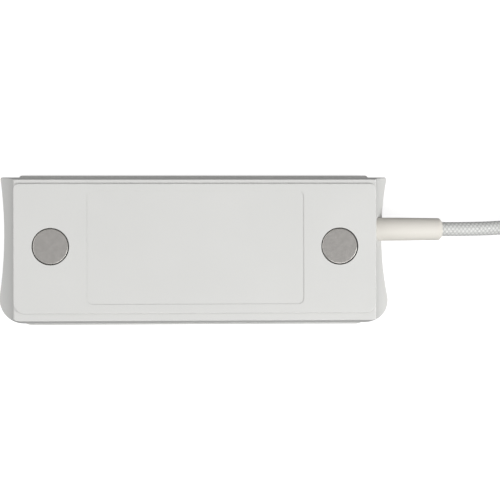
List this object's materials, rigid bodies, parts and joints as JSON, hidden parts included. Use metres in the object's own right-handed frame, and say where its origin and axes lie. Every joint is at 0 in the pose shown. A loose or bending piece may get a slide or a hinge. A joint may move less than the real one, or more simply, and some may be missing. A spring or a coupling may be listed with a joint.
{
  "type": "wired door contact sensor",
  "caption": "Long low white sensor housing with flared hollow ends, two magnets set in its raised back plate, and a braided lead with a moulded boot and jack plug.",
  "frame": {"origin": "middle of the front face, on the surface that the sensor lies on", "axes": "+X towards the end that the lead leaves, +Y towards the edge nearer the lead, +Z out of the back plate with the two magnets"},
  "size_m": [0.1994, 0.0629, 0.0237],
  "materials": {
    "shell_white": "fine satin texture, white",
    "magnet_plating": "satin nickel plate",
    "screw_steel": "zinc plated",
    "board_laminate": "solder mask",
    "reed_glass": "clear green tint",
    "reed_alloy": "bright iron nickel alloy",
    "switch_black": "moulded",
    "plunger_cream": "moulded",
    "clear_plastic": "clear, polished",
    "resistor_coat": "lacquered",
    "varistor_coat": "epoxy dipped",
    "connector_cream": "nylon",
    "wire_insulation": "extruded",
    "boot_white": "warm white, soft moulded",
    "lead_braid": "silver white textile braid",
    "ferrule_metal": "crimped",
    "tie_strap": "woven hook and loop",
    "plug_white": "satin moulded",
    "jack_plating": "nickel plated",
    "jack_insulator": "moulded"
  },
  "bodies": {
    "sensor": {"front_cover": "shell_white", "housing": "shell_white", "back_cover": "shell_white", "mounting_magnet_left": "magnet_plating", "mounting_magnet_right": "magnet_plating", "case_screws": "screw_steel", "board_screws": "screw_steel", "circuit_board": "board_laminate", "reed_glass": "reed_glass", "reed_fixed_lead": "reed_alloy", "reed_fixed_blade": "reed_alloy", "reed_moving_lead": "reed_alloy", "tamper_body": "switch_black", "light_pipe": "clear_plastic", "status_led": "clear_plastic", "line_resistors": "resistor_coat", "surge_varistor": "varistor_coat", "board_header": "connector_cream", "wire_connector": "connector_cream", "lead_wires": "wire_insulation", "strain_relief": "boot_white", "plug_boot": "boot_white", "cable_inner_end": "lead_braid", "cable_lead": "lead_braid", "cable_coil": "lead_braid", "cable_tail": "lead_braid", "cable_ferrule": "ferrule_metal", "coil_tie": "tie_strap", "plug_grip": "plug_white", "plug_sleeve": "jack_plating", "plug_tip": "jack_plating", "plug_insulator": "jack_insulator"},
    "plunger": {"tamper_plunger": "plunger_cream"},
    "reed_blade": {"reed_moving_blade": "reed_alloy"}
  },
  "joints": [
    {"name": "tamper_press", "type": "slide", "parent": "sensor", "child": "plunger", "axis": [0, 0, -1], "range_m": [0, 0.0003], "stiffness_N_per_m": 150, "springref_m": -0.001},
    {"name": "reed_close", "type": "hinge", "parent": "sensor", "child": "reed_blade", "pos_m": [0.0052, 0.0098, 0.00886], "axis": [0, -1, 0], "range_deg": [0, 1], "stiffness_Nm_per_rad": 0.0005}
  ]
}
